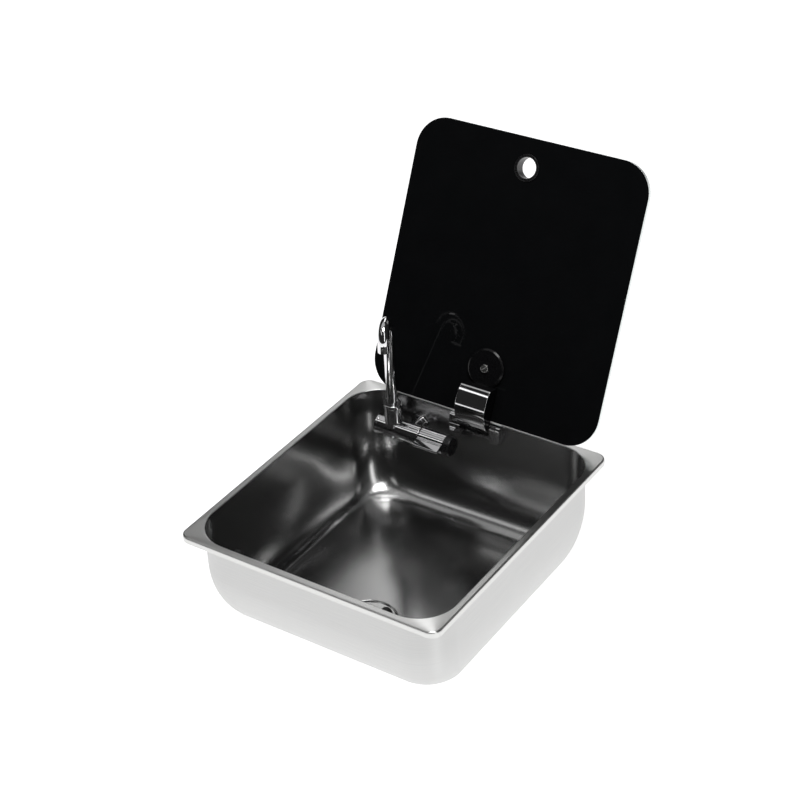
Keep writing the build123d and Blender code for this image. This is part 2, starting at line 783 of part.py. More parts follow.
with BuildPart() as tap_knob:
    with BuildSketch(x_plane(knob_start_x, barrel_y, barrel_z)):
        Circle(barrel_r)
        with BuildLine():
            Polyline(
                (0, 0),
                lever_root,
                on_lever(lever_reach, 0),
                on_lever(lever_reach, -lever_thickness),
                on_lever(0, -lever_thickness),
                close=True,
            )
        make_face()
        for place in lever_rib_places:
            with BuildLine():
                Polyline(
                    on_lever(place, -lever_rib_h),
                    on_lever(place, lever_rib_h),
                    on_lever(place + lever_rib_width, lever_rib_h),
                    on_lever(place + lever_rib_width, -lever_rib_h),
                    close=True,
                )
            make_face()
    extrude(amount=knob_end_x - knob_start_x)
    with BuildSketch(x_plane(knob_start_x + knob_web, barrel_y, barrel_z)):
        Circle(barrel_r - knob_skirt_wall)
    extrude(amount=knob_cap_seat_x - knob_start_x - knob_web, mode=Mode.SUBTRACT)
    with BuildSketch(x_plane(knob_cap_seat_x, barrel_y, barrel_z)):
        Circle(knob_cap_r)
    extrude(amount=knob_cap_seat, mode=Mode.SUBTRACT)
    with BuildSketch(x_plane(knob_start_x, barrel_y, barrel_z)):
        Circle(spindle_r)
    extrude(amount=knob_web, mode=Mode.SUBTRACT)
finish(tap_knob, "tap_knob")

spindle_start_x = cartridge_seat_x + cartridge_length / 2 + turn_gap
with BuildPart() as valve_spindle:
    with BuildSketch(x_plane(spindle_start_x, barrel_y, barrel_z)):
        Circle(spindle_r)
    extrude(amount=spindle_end_x - spindle_start_x)
    with BuildSketch(x_plane(spindle_end_x - knob_screw_length, barrel_y, barrel_z)):
        Circle(knob_screw_r)
    extrude(amount=knob_screw_length, mode=Mode.SUBTRACT)
finish(valve_spindle, "valve_spindle")

with BuildPart() as knob_screw:
    with BuildSketch(x_plane(spindle_end_x - knob_screw_length, barrel_y, barrel_z)):
        Circle(knob_screw_r)
    extrude(amount=knob_screw_length)
    with BuildSketch(x_plane(spindle_end_x, barrel_y, barrel_z)):
        Circle(knob_screw_head_r)
    extrude(amount=knob_screw_head_h)
    with BuildSketch(x_plane(spindle_end_x + knob_screw_head_h / 2, barrel_y, barrel_z)):
        RegularPolygon(knob_screw_r, 6)
    extrude(amount=knob_screw_head_h, mode=Mode.SUBTRACT)
finish(knob_screw, "knob_screw")

with BuildPart() as knob_end_cap:
    with BuildSketch(x_plane(knob_cap_seat_x, barrel_y, barrel_z)):
        Circle(knob_cap_r)
    extrude(amount=knob_cap_end_x - knob_cap_seat_x)
    fillet(knob_end_cap.faces().sort_by(Axis.X)[-1].edges(), knob_cap_round)
finish(knob_end_cap, "knob_end_cap")

# ---------------------------------------------------------------- tap, folding elbow
# Elbow: the left end of the barrel, which turns on a spigot in the body, with a boss that
# the spout stands in. Water runs along the spigot and up the boss.
elbow_start_x = barrel_left_x + end_cap_length
seal_ring_r = elbow_spigot_r + swivel_fit / 2 - seal_section_r
seal_xs = [elbow_joint_x + seal_first + seal_pitch * count for count in range(seal_count)]
with BuildPart() as elbow_barrel:
    with BuildSketch(x_plane(elbow_start_x, barrel_y, barrel_z)):
        Circle(barrel_r)
    extrude(amount=elbow_joint_x - elbow_start_x)
    with BuildSketch(x_plane(elbow_joint_x, barrel_y, barrel_z)):
        Circle(elbow_spigot_r)
    extrude(amount=elbow_spigot_length)
    with BuildSketch(Plane.XY.offset(barrel_z)):
        with Locations((riser_x, barrel_y)):
            Circle(boss_r)
    extrude(amount=boss_height)
    # The boss overhangs the joint, so its foot is cut clear of the body.
    with BuildSketch(x_plane(elbow_joint_x, barrel_y, barrel_z)):
        Circle(barrel_r + collar_gap)
        Circle(elbow_spigot_r, mode=Mode.SUBTRACT)
    extrude(amount=elbow_spigot_length, mode=Mode.SUBTRACT)
    with BuildSketch(Plane.XY.offset(barrel_z + spout_foot)):
        with Locations((riser_x, barrel_y)):
            Circle(spout_r + swivel_fit)
    extrude(amount=boss_height - spout_foot, mode=Mode.SUBTRACT)
    with BuildSketch(Plane.XY.offset(barrel_z)):
        with Locations((riser_x, barrel_y)):
            Circle(waterway_r)
    extrude(amount=spout_foot, mode=Mode.SUBTRACT)
    with BuildSketch(x_plane(riser_x, barrel_y, barrel_z)):
        Circle(waterway_r)
    extrude(amount=spigot_end_x - riser_x, mode=Mode.SUBTRACT)
    with BuildSketch(x_plane(elbow_start_x, barrel_y, barrel_z)):
        Circle(end_cap_plug_r)
    extrude(amount=end_cap_plug_length, mode=Mode.SUBTRACT)
    for seal_x in seal_xs:
        with BuildSketch(x_plane(seal_x, barrel_y, barrel_z)):
            Circle(elbow_spigot_r + swivel_fit)
            Circle(seal_ring_r - seal_section_r, mode=Mode.SUBTRACT)
        extrude(amount=seal_section_r + seal_side_gap, both=True, mode=Mode.SUBTRACT)
finish(elbow_barrel, "elbow_barrel")

with BuildPart() as elbow_seals:
    for seal_x in seal_xs:
        with BuildSketch(Plane(origin=(seal_x, barrel_y, barrel_z), x_dir=(1, 0, 0), z_dir=(0, -1, 0))):
            with Locations((0, seal_ring_r)):
                Circle(seal_section_r)
        revolve(axis=Axis((seal_x, barrel_y, barrel_z), (1, 0, 0)))
finish(elbow_seals, "elbow_seals")

with BuildPart() as elbow_end_cap:
    with BuildSketch(x_plane(barrel_left_x, barrel_y, barrel_z)):
        Circle(barrel_r)
    extrude(amount=end_cap_length)
    fillet(elbow_end_cap.faces().sort_by(Axis.X)[0].edges(), end_cap_round)
    with BuildSketch(x_plane(elbow_start_x, barrel_y, barrel_z)):
        Circle(end_cap_plug_r)
    extrude(amount=end_cap_plug_length)
finish(elbow_end_cap, "elbow_end_cap")

# Collar over the boss: it stands clear of the barrel, closes round the spout above the boss,
# has a ring round its top and carries the set screw that keeps the spout in.
screw_turn = math.radians(set_screw_angle)
screw_plane = Plane(
    origin=(riser_x, barrel_y, barrel_z + set_screw_z),
    x_dir=(0, 0, 1),
    z_dir=(math.cos(screw_turn), math.sin(screw_turn), 0),
)
set_screw_tip = spout_r - groove_depth + set_screw_gap
with BuildPart() as riser_collar:
    with BuildSketch(Plane.XY.offset(barrel_z)):
        with Locations((riser_x, barrel_y)):
            Circle(collar_body_r)
    extrude(amount=collar_height)
    with BuildSketch(Plane.XY.offset(barrel_z + collar_height - collar_ring_h)):
        with Locations((riser_x, barrel_y)):
            Circle(collar_r)
    extrude(amount=collar_ring_h)
    with BuildSketch(screw_plane):
        Circle(set_screw_boss_r)
    extrude(amount=set_screw_boss_reach)
    fillet(riser_collar.faces().sort_by(Axis.Z)[-1].edges(), edge_round)
    with BuildSketch(x_plane(riser_x - 2 * collar_r, barrel_y, barrel_z)):
        Circle(barrel_r + collar_gap)
    extrude(amount=4 * collar_r, mode=Mode.SUBTRACT)
    with BuildSketch(Plane.XY.offset(barrel_z - barrel_r)):
        with Locations((riser_x, barrel_y)):
            Circle(boss_r)
    extrude(amount=barrel_r + boss_height, mode=Mode.SUBTRACT)
    with BuildSketch(Plane.XY.offset(barrel_z)):
        with Locations((riser_x, barrel_y)):
            Circle(spout_r + collar_gap)
    extrude(amount=collar_height, mode=Mode.SUBTRACT)
    with BuildSketch(screw_plane):
        Circle(set_screw_r)
    extrude(amount=set_screw_boss_reach, mode=Mode.SUBTRACT)
finish(riser_collar, "riser_collar")

with BuildPart() as collar_set_screw:
    with BuildSketch(screw_plane.offset(set_screw_tip)):
        Circle(set_screw_r)
    extrude(amount=set_screw_reach - set_screw_tip)
    with BuildSketch(screw_plane.offset(set_screw_reach)):
        RegularPolygon(set_screw_r / 2, 6)
    extrude(amount=-set_screw_r, mode=Mode.SUBTRACT)
finish(collar_set_screw, "collar_set_screw")

# ---------------------------------------------------------------- spout
# One bent tube: it stands in the elbow's boss, rises, and hooks over to the nozzle.
reach_turn = math.radians(spout_swivel)
reach_dir = (math.sin(reach_turn), -math.cos(reach_turn), 0)
spout_plane = Plane(
    origin=(riser_x, barrel_y, barrel_z),
    x_dir=reach_dir,
    z_dir=(reach_dir[1], -reach_dir[0], 0),
)
spout_foot_z = spout_foot + turn_gap
arch_z = collar_height + spout_rise
nozzle_z = arch_z - spout_drop
nozzle_out = 2 * spout_arch_r
with BuildPart() as spout_tube:
    with BuildLine(spout_plane):
        Line((0, spout_foot_z), (0, arch_z))
        ThreePointArc((0, arch_z), (spout_arch_r, arch_z + spout_arch_r), (nozzle_out, arch_z))
        Line((nozzle_out, arch_z), (nozzle_out, nozzle_z))
    with BuildSketch(Plane.XY.offset(barrel_z + spout_foot_z)):
        with Locations((riser_x, barrel_y)):
            Circle(spout_r)
            Circle(spout_bore_r, mode=Mode.SUBTRACT)
    sweep()
    with BuildSketch(Plane.XY.offset(barrel_z + set_screw_z)):
        with Locations((riser_x, barrel_y)):
            Circle(spout_r + swivel_fit)
            Circle(spout_r - groove_depth, mode=Mode.SUBTRACT)
    extrude(amount=set_screw_r + collar_gap, both=True, mode=Mode.SUBTRACT)
finish(spout_tube, "spout_tube")

# Aerator pressed into the nozzle, with a thin lip over its end.
nozzle_plane = Plane(
    origin=spout_plane.from_local_coords((nozzle_out, nozzle_z, 0)),
    x_dir=reach_dir,
    z_dir=(0, 0, -1),
)
with BuildPart() as aerator:
    with BuildSketch(nozzle_plane):
        Circle(spout_r)
    extrude(amount=aerator_lip)
    with BuildSketch(nozzle_plane):
        Circle(spout_bore_r)
    extrude(amount=-aerator_length)
    with BuildSketch(nozzle_plane.offset(-aerator_length)):
        with PolarLocations(aerator_ring_r, aerator_hole_count):
            Circle(aerator_hole_r)
    extrude(amount=aerator_length + aerator_lip, mode=Mode.SUBTRACT)
finish(aerator, "aerator")
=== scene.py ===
import math

import bmesh
import bpy
from mathutils import Matrix, Vector


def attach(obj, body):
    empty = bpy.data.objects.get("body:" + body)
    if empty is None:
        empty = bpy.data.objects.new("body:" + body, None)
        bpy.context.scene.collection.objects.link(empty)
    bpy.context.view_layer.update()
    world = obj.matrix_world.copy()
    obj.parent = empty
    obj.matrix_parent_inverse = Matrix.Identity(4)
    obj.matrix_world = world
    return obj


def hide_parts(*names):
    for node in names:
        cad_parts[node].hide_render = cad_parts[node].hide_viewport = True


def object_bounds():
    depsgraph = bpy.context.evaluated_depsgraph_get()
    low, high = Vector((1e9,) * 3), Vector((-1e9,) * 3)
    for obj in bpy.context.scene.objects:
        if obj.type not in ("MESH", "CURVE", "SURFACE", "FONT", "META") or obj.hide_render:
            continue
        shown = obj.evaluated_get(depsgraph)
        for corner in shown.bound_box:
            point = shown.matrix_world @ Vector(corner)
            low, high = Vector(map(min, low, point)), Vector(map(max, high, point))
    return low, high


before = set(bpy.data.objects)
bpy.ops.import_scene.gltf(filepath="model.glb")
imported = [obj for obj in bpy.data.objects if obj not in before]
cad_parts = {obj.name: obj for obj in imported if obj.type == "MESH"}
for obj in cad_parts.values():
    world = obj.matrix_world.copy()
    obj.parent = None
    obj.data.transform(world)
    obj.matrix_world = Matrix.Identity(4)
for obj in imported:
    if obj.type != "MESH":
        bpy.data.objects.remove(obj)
cad_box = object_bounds()

# ---------------------------------------------------------------- camera
# The camera stands at the front right and looks down into the pan, as the photo does. Its place
# in metres, its angles in degrees and its lens in mm follow from the corners of the rim, whose
# real size is known.
scene = bpy.context.scene
camera_place = Vector((1.00731, -1.40854, 1.27047))
camera_yaw = 35.29
camera_pitch = 33.37
camera_roll = -3.19
lens = 89.12
film = 36.0
camera_data = bpy.data.cameras.new("camera")
camera_data.lens = lens
camera_data.sensor_width = film
camera_data.sensor_fit = "HORIZONTAL"
camera = bpy.data.objects.new("camera", camera_data)
aim = Matrix.Rotation(math.radians(camera_yaw), 4, "Z")
tilt = Matrix.Rotation(math.radians(90 - camera_pitch), 4, "X")
lean = Matrix.Rotation(math.radians(camera_roll), 4, "Z")
camera.matrix_world = Matrix.Translation(camera_place) @ aim @ tilt @ lean
scene.collection.objects.link(camera)
scene.camera = camera

# ---------------------------------------------------------------- pan
# The pan is deep-drawn from one 1 mm stainless sheet: a turned-down lip, a narrow flat rim, walls
# that draw in towards the floor and a pressed seat for the waste. Rim and outside are brushed,
# the inside is polished, and its steel is painted much darker than the outside's as painted shade.
# Sizes are in mm, from the middle of the cut-out in the worktop.
MM = 0.001
sheet = 1.0
rim_width = 325.0
rim_depth = 354.0
rim_corner = 13.0
rim_top = 8.0
rim_bend = 2.2
opening_inset = 8.3
opening_edge = 1.4
wall_corner = 43.0
floor_corner = 34.0
bowl_depth = 125.0
straight_wall = 47.0
floor_z = rim_top - bowl_depth
draw_top_z = rim_top - straight_wall
side_draw = 31.0
front_draw = 60.0
rear_draw = 45.0
drain_y = -68.0
seat_r = 32.0
seat_drop = 3.0
seat_z = floor_z - seat_drop
hole_r = 26.0
hem_inset = 2.4
hem_top = 2.2
seat_bend = 1.2
outer_bend = 1.0
hole_chamfer = 0.2
polish_start = 0.9
crisp_step = 0.35
wall_rows = 5
draw_rows = 40


def loop_points(width, depth, corner, arc_steps=20, side_steps=8):
    """Points round a rounded rectangle, the same number at any size, from its right side on."""
    half_x, half_y = width / 2 - corner, depth / 2 - corner
    points = []
    for quarter in range(4):
        cx = half_x if quarter in (0, 3) else -half_x
        cy = half_y if quarter in (0, 1) else -half_y
        for step in range(arc_steps + 1):
            turn = math.radians(90 * (quarter + step / arc_steps))
            points.append((cx + corner * math.cos(turn), cy + corner * math.sin(turn)))

        # Along the straight side to where the next corner starts.
        here = Vector(points[-1])
        next_x = half_x if quarter in (2, 3) else -half_x
        next_y = half_y if quarter in (0, 3) else -half_y
        turn = math.radians(90 * (quarter + 1))
        there = Vector((next_x + corner * math.cos(turn), next_y + corner * math.sin(turn)))
        points += [tuple(here.lerp(there, step / side_steps)) for step in range(1, side_steps)]
    return points


def rim_loop(inset, height, corner, front=None, rear=None):
    """Loop at this distance in from the outer edge of the rim, or at others at its two ends."""
    front = inset if front is None else front
    rear = inset if rear is None else rear
    outline = loop_points(rim_width - 2 * inset, rim_depth - front - rear, corner)
    return [(x, y + (front - rear) / 2, height) for x, y in outline]


def drain_loop(radius, height, like):
    """Circle round the drain whose points lie in the same directions as those of another loop."""
    circle = []
    for x, y, _ in like:
        away = Vector((x, y - drain_y)).normalized() * radius
        circle.append((away.x, away.y + drain_y, height))
    return circle


def between(loop_a, loop_b, share):
    """Loop at this share of the way from one loop to another."""
    return [tuple(Vector(a).lerp(Vector(b), share)) for a, b in zip(loop_a, loop_b)]


def arc(radius, start, end, steps):
    """Pairs (across, up) along an arc, from one angle to another in degrees."""
    turns = [math.radians(start + (end - start) * step / steps) for step in range(steps + 1)]
    return [(radius * math.cos(turn), radius * math.sin(turn)) for turn in turns]


def skin_mesh(loops, bands=None, ring=True, place=None):
    """Quads between loops of points in mm; bands gives a material per row of quads."""
    count = len(loops[0])
    faces = []
    for row in range(len(loops) if ring else len(loops) - 1):
        low, high = row * count, (row + 1) % len(loops) * count
        for i in range(count):
            j = (i + 1) % count
            faces.append((low + i, low + j, high + j, high + i))
    mesh = bpy.data.meshes.new("skin")
    mesh.from_pydata([Vector(point) * MM for loop in loops for point in loop], [], faces)

    # UVs in metres, along the loops and from loop to loop, for grain that follows the piece.
    lengths = [0.0]
    for i in range(1, count + 1):
        side = Vector(loops[0][i % count]) - Vector(loops[0][i - 1])
        lengths.append(lengths[-1] + side.length * MM)
    rises = [0.0]
    for row in range(1, len(loops) + 1):
        rise = Vector(loops[row % len(loops)][0]) - Vector(loops[row - 1][0])
        rises.append(rises[-1] + rise.length * MM)
    uv = mesh.uv_layers.new(name="along").data
    for poly in mesh.polygons:
        row, i = divmod(poly.index, count)
        poly.material_index = bands[row] if bands else 0
        corners = ((i, row), (i + 1, row), (i + 1, row + 1), (i, row + 1))
        for loop_index, (a, b) in zip(poly.loop_indices, corners):
            uv[loop_index].uv = (lengths[a], rises[b])
    if place:
        mesh.transform(place)
    return mesh


def even_normals(obj):
    """Long flat faces keep their own direction where they meet a small rounded edge."""
    mod = obj.modifiers.new("even_normals", "WEIGHTED_NORMAL")
    mod.keep_sharp = True
    mod.weight = 100
    return obj


def piece(name, meshes, materials, crease=None):
    """One smooth object from several meshes, welded, sharp only above the crease angle."""
    work = bmesh.new()
    for mesh in meshes:
        work.from_mesh(mesh)
        bpy.data.meshes.remove(mesh)
    bmesh.ops.remove_doubles(work, verts=work.verts, dist=0.0005 * MM)
    bmesh.ops.dissolve_degenerate(work, edges=work.edges, dist=0.0002 * MM)
    bmesh.ops.recalc_face_normals(work, faces=work.faces)
    mesh = bpy.data.meshes.new(name)
    work.to_mesh(mesh)
    work.free()
    for material in materials:
        mesh.materials.append(material)
    for poly in mesh.polygons:
        poly.use_smooth = True
    if crease:
        mesh.set_sharp_from_angle(angle=math.radians(crease))
    obj = bpy.data.objects.new(name, mesh)
    scene.collection.objects.link(obj)
    return even_normals(obj)


def shader_material(name):
    """New material with its nodes, its links and its main shader."""
    material = bpy.data.materials.new(name)
    material.use_nodes = True
    nodes = material.node_tree.nodes
    return material, nodes, material.node_tree.links, nodes["Principled BSDF"]


def grain_of(nodes, links, kind, stretch, scale, detail=4.0, rough=0.6):
    """Noise read from object or UV coordinates, stretched into lines or left as specks."""
    where = nodes.new("ShaderNodeTexCoord")
    mapping = nodes.new("ShaderNodeMapping")
    mapping.inputs["Scale"].default_value = stretch
    noise = nodes.new("ShaderNodeTexNoise")
    noise.inputs["Scale"].default_value = scale
    noise.inputs["Detail"].default_value = detail
    noise.inputs["Roughness"].default_value = rough
    links.new(where.outputs[kind], mapping.inputs["Vector"])
    links.new(mapping.outputs["Vector"], noise.inputs["Vector"])
    return noise.outputs["Fac"]


grain_low, grain_high = 0.3, 0.7


def spread(nodes, links, source, low, high, into):
    """The grain turned into values from low to high, for one socket."""
    ramp = nodes.new("ShaderNodeMapRange")
    ramp.inputs["From Min"].default_value = grain_low
    ramp.inputs["From Max"].default_value = grain_high
    ramp.inputs["To Min"].default_value = low
    ramp.inputs["To Max"].default_value = high
    links.new(source, ramp.inputs["Value"])
    links.new(ramp.outputs["Result"], into)


def tint(nodes, links, source, dark, light, into):
    """The grain turned into colours from dark to light."""
    ramp = nodes.new("ShaderNodeValToRGB")
    ramp.color_ramp.elements[0].position = grain_low
    ramp.color_ramp.elements[0].color = (*dark, 1)
    ramp.color_ramp.elements[1].position = grain_high
    ramp.color_ramp.elements[1].color = (*light, 1)
    links.new(source, ramp.inputs["Fac"])
    links.new(ramp.outputs["Color"], into)


def bump(nodes, links, source, depth, strength, shader):
    """The grain turned into a relief of this depth in metres."""
    relief = nodes.new("ShaderNodeBump")
    relief.inputs["Distance"].default_value = depth
    relief.inputs["Strength"].default_value = strength
    links.new(source, relief.inputs["Height"])
    links.new(relief.outputs["Normal"], shader.inputs["Normal"])


def brushed_steel(name, dark, light, roughness, relief):
    """Stainless steel with brush lines that run along the piece."""
    material, nodes, links, shader = shader_material(name)
    shader.inputs["Metallic"].default_value = 1.0
    shader.inputs["Anisotropic"].default_value = 0.9
    shader.inputs["Anisotropic Rotation"].default_value = 0.25
    tangent = nodes.new("ShaderNodeTangent")
    tangent.direction_type = "UV_MAP"
    tangent.uv_map = "along"
    links.new(tangent.outputs["Tangent"], shader.inputs["Tangent"])
    lines = grain_of(nodes, links, "UV", stretch=(14, 1500, 1), scale=1.0, detail=5.0, rough=0.7)
    spread(nodes, links, lines, *roughness, shader.inputs["Roughness"])
    tint(nodes, links, lines, dark, light, shader.inputs["Base Color"])
    bump(nodes, links, lines, relief, 0.5, shader)
    return material


def polished_steel(name, dark, light, roughness, relief):
    """Polished stainless steel with the soft, uneven sheen that drawing leaves."""
    material, nodes, links, shader = shader_material(name)
    shader.inputs["Metallic"].default_value = 1.0
    cloud = grain_of(nodes, links, "Object", stretch=(1, 1, 1), scale=9.0, detail=1.0, rough=0.4)
    fine = grain_of(nodes, links, "Object", stretch=(1, 1, 1), scale=900.0, detail=2.0, rough=0.5)
    spread(nodes, links, cloud, *roughness, shader.inputs["Roughness"])
    tint(nodes, links, cloud, dark, light, shader.inputs["Base Color"])
    bump(nodes, links, fine, relief, 0.25, shader)
    return material


rim_steel = brushed_steel("brushed_rim", dark=(0.72, 0.72, 0.71), light=(0.82, 0.82, 0.81),
                          roughness=(0.28, 0.38), relief=0.00002)
wall_steel = brushed_steel("brushed_wall", dark=(0.66, 0.66, 0.66), light=(0.76, 0.76, 0.75),
                           roughness=(0.34, 0.44), relief=0.00003)
# The inside's steel is painted far darker than the rim and walls of the same sheet: painted shade
# for the inside of the pan.
inner_steel_painted_shade = polished_steel("polished_inside_painted_shade", dark=(0.45, 0.45, 0.45),
                             light=(0.48, 0.48, 0.475), roughness=(0.19, 0.21), relief=0.00001)

RIM, WALL, INNER = 0, 1, 2
pan_loops = []
pan_bands = []


def add_loop(loop, band):
    """One more loop of the pan; band names the steel from it to the next loop."""
    pan_loops.append(loop)
    pan_bands.append(band)


# Outside of the lip, up over the bend, across the flat and down into the opening.
hem_r = hem_inset / 2
for across, up in arc(hem_r, 270, 180, 5):
    add_loop(rim_loop(hem_r + across, hem_r + up, rim_corner - hem_r - across), RIM)
add_loop(rim_loop(0, rim_top - rim_bend - crisp_step, rim_corner), RIM)
for across, up in arc(rim_bend, 180, 90, 7):
    inset = rim_bend + across
    add_loop(rim_loop(inset, rim_top - rim_bend + up, rim_corner - inset), RIM)
add_loop(rim_loop(rim_bend + crisp_step, rim_top, rim_corner - rim_bend - crisp_step), RIM)
flat_end = opening_inset - opening_edge
edge_low = rim_top - opening_edge
edge_corner = wall_corner + opening_edge
add_loop(rim_loop(flat_end - crisp_step, rim_top, edge_corner + crisp_step), RIM)
for across, up in arc(opening_edge, 90, 0, 6):
    add_loop(rim_loop(flat_end + across, edge_low + up, edge_corner - across),
             RIM if up > polish_start else INNER)
add_loop(rim_loop(opening_inset, edge_low - crisp_step, wall_corner), INNER)
for row in range(1, wall_rows):
    height = edge_low + (draw_top_z - edge_low) * row / wall_rows
    add_loop(rim_loop(opening_inset, height, wall_corner), INNER)


def draw_loop(turn, skin):
    """Loop where the walls draw in towards the floor, skin mm outside the inner face."""
    drawn_in = 1 - math.cos(math.radians(turn))
    side, front, rear = (opening_inset + (draw + skin) * drawn_in - skin
                         for draw in (side_draw, front_draw, rear_draw))
    corner = wall_corner + skin - (wall_corner - floor_corner) * drawn_in
    height = draw_top_z - (draw_top_z - floor_z + skin) * math.sin(math.radians(turn))
    return rim_loop(side, height, corner, front, rear)


# The drawn walls, the floor and the pressed seat with its hole.
for row in range(draw_rows + 1):
    add_loop(draw_loop(90 * row / draw_rows, 0), INNER)
floor_loop = pan_loops[-1]
seat_top = drain_loop(seat_r + seat_bend, floor_z, floor_loop)
for share in (0.04, 0.35, 0.65, 0.9):
    add_loop(between(floor_loop, seat_top, share), INNER)
for across, up in arc(seat_bend, 90, 0, 4):
    add_loop(drain_loop(seat_r + seat_bend - across, floor_z - seat_bend + up, floor_loop), INNER)
for across, up in arc(seat_bend, 180, 270, 4):
    add_loop(drain_loop(seat_r + across, seat_z + seat_bend + up, floor_loop), INNER)
add_loop(drain_loop(hole_r + crisp_step, seat_z, floor_loop), INNER)
add_loop(drain_loop(hole_r, seat_z - hole_chamfer, floor_loop), INNER)

# The same way back on the outside of the sheet, up to the hem of the lip.
seat_under = seat_z - sheet
seat_foot_r = seat_r + sheet - outer_bend
add_loop(drain_loop(hole_r, seat_under, floor_loop), WALL)
add_loop(drain_loop(seat_foot_r, seat_under, floor_loop), WALL)
for across, up in arc(outer_bend, 270, 360, 4):
    add_loop(drain_loop(seat_foot_r + across, seat_under + outer_bend + up, floor_loop), WALL)
outer_floor = draw_loop(90, sheet)
seat_outside = drain_loop(seat_r + sheet + outer_bend, floor_z - sheet, outer_floor)
for share in (0.0, 0.35, 0.65, 0.96):
    add_loop(between(seat_outside, outer_floor, share), WALL)
for row in range(draw_rows, -1, -1):
    add_loop(draw_loop(90 * row / draw_rows, sheet), WALL)
wall_inset = opening_inset - sheet
wall_top = rim_top - sheet - outer_bend
for row in range(wall_rows - 1, 0, -1):
    height = wall_top + (draw_top_z - wall_top) * row / wall_rows
    add_loop(rim_loop(wall_inset, height, wall_corner + sheet), WALL)
for across, up in arc(outer_bend, 0, 90, 3):
    add_loop(rim_loop(wall_inset - outer_bend + across, wall_top + up,
                      wall_corner + sheet + outer_bend - across), WALL)
for across, up in arc(rim_bend - sheet, 90, 180, 4):
    inset = rim_bend + across
    add_loop(rim_loop(inset, rim_top - rim_bend + up, rim_corner - inset), RIM)
add_loop(rim_loop(sheet, hem_top + crisp_step, rim_corner - sheet), RIM)
add_loop(rim_loop(sheet + crisp_step, hem_top, rim_corner - sheet - crisp_step), RIM)
for across, up in arc(hem_r, 60, -90, 5):
    add_loop(rim_loop(hem_r + across, hem_r + up, rim_corner - hem_r - across), RIM)

sink_bowl = piece("sink_bowl_drawn", [skin_mesh(pan_loops, pan_bands)],
                  [rim_steel, wall_steel, inner_steel_painted_shade])
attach(sink_bowl, "root")
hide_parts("sink_bowl")

# ---------------------------------------------------------------- rubber buffers
# Two black rubber buttons that the closed lid lies on. A thin stem of each is pulled through a
# hole in the front wall until its barb opens behind the sheet.
buffer_x = 94.0
buffer_z = -2.3
front_wall = opening_inset - rim_depth / 2
buffer_r = 6.5
buffer_reach = 10.5


def rounded(points, closed=False, steps=4):
    """Outline through corners (across, up, radius), each turned into an arc of that radius."""
    outline = []
    side_share = 0.48  # two arcs never meet on one side
    last = len(points) - 1
    for i, (across, up, radius) in enumerate(points):
        here = Vector((across, up))
        if radius == 0 or (not closed and i in (0, last)):
            outline.append((across, up))
            continue
        back = Vector(points[i - 1][:2]) - here
        on = Vector(points[(i + 1) % len(points)][:2]) - here
        half_angle = back.angle(on) / 2
        reach = min(radius / math.tan(half_angle), side_share * min(back.length, on.length))
        turn_r = reach * math.tan(half_angle)
        back.normalize()
        on.normalize()
        middle = here + (back + on).normalized() * (turn_r / math.sin(half_angle))
        first, final = here + back * reach - middle, here + on * reach - middle
        for step in range(steps + 1):
            way = first.lerp(final, step / steps).normalized() * turn_r
            outline.append(tuple(middle + way))
    return outline


def ring_of(radius, height, steps):
    """Loop of points round the local z axis."""
    turns = [math.tau * i / steps for i in range(steps)]
    return [(radius * math.cos(turn), radius * math.sin(turn), height) for turn in turns]


def turned(outline, place, steps=64, ring=False):
    """Mesh turned on a lathe: outline pairs are (radius, height), placed by a matrix in metres."""
    return skin_mesh([ring_of(radius, height, steps) for radius, height in outline],
                     ring=ring, place=place)


def placed(x, y, z, across, up):
    """Matrix whose local x and y run along the two given directions, at a point in mm."""
    across, up = Vector(across), Vector(up)
    out = across.cross(up)
    turn = Matrix((across, up, out)).transposed().to_4x4()
    return Matrix.Translation(Vector((x, y, z)) * MM) @ turn


def grained(name, dark, light, roughness, grain, detail=3.0, stretch=(1, 1, 1), metallic=0.0,
            specular=0.5, relief=0.0, strength=0.0):
    """Finish whose colour, sheen and surface follow a grain of so many specks per metre."""
    material, nodes, links, shader = shader_material(name)
    shader.inputs["Metallic"].default_value = metallic
    shader.inputs["Specular IOR Level"].default_value = specular
    specks = grain_of(nodes, links, "Object", stretch, grain, detail)
    tint(nodes, links, specks, dark, light, shader.inputs["Base Color"])
    spread(nodes, links, specks, *roughness, shader.inputs["Roughness"])
    if relief:
        bump(nodes, links, specks, relief, strength, shader)
    return material


X, Y, Z = Vector((1, 0, 0)), Vector((0, 1, 0)), Vector((0, 0, 1))

rubber = grained("black_rubber", dark=(0.006, 0.006, 0.006), light=(0.014, 0.014, 0.014),
                 roughness=(0.45, 0.65), grain=1400.0, relief=0.00003, strength=0.3)

stem_r = 1.4
barb_r = 2.2
barb_end = -2.6
barb_flare = 0.5
buffer_round = 3.2
button = rounded([(0, barb_end, 0), (barb_r, barb_end, 0.3), (barb_r + barb_flare, -sheet, 0.2),
                  (stem_r, -sheet, 0), (stem_r, 0, 0), (buffer_r, 0, 0.2),
                  (buffer_r, buffer_reach, buffer_round), (0, buffer_reach, 0)], steps=6)
lid_buffers = piece("lid_buffer_buttons", [
    turned(button, placed(side * buffer_x, front_wall, buffer_z, Z, X)) for side in (-1, 1)],
    [rubber])
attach(lid_buffers, "root")
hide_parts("lid_buffers")

# ---------------------------------------------------------------- waste
# A pressed steel strainer, a rubber gasket, a moulded black waste body and the domed steel
# screw that pulls them together through the seat in the floor.


def dress(name, material):
    """A piece that keeps its CAD shape gets its finish."""
    for part_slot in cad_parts[name].material_slots:
        part_slot.material = material


pressed_steel = grained("pressed_steel", dark=(0.5, 0.5, 0.5), light=(0.62, 0.62, 0.61),
                        roughness=(0.14, 0.26), grain=500.0, detail=4.0, metallic=1.0,
                        relief=0.00001, strength=0.2)
black_plastic = grained("black_plastic", dark=(0.008, 0.008, 0.009), light=(0.014, 0.014, 0.015),
                        roughness=(0.22, 0.34), grain=900.0, relief=0.00002, strength=0.2)

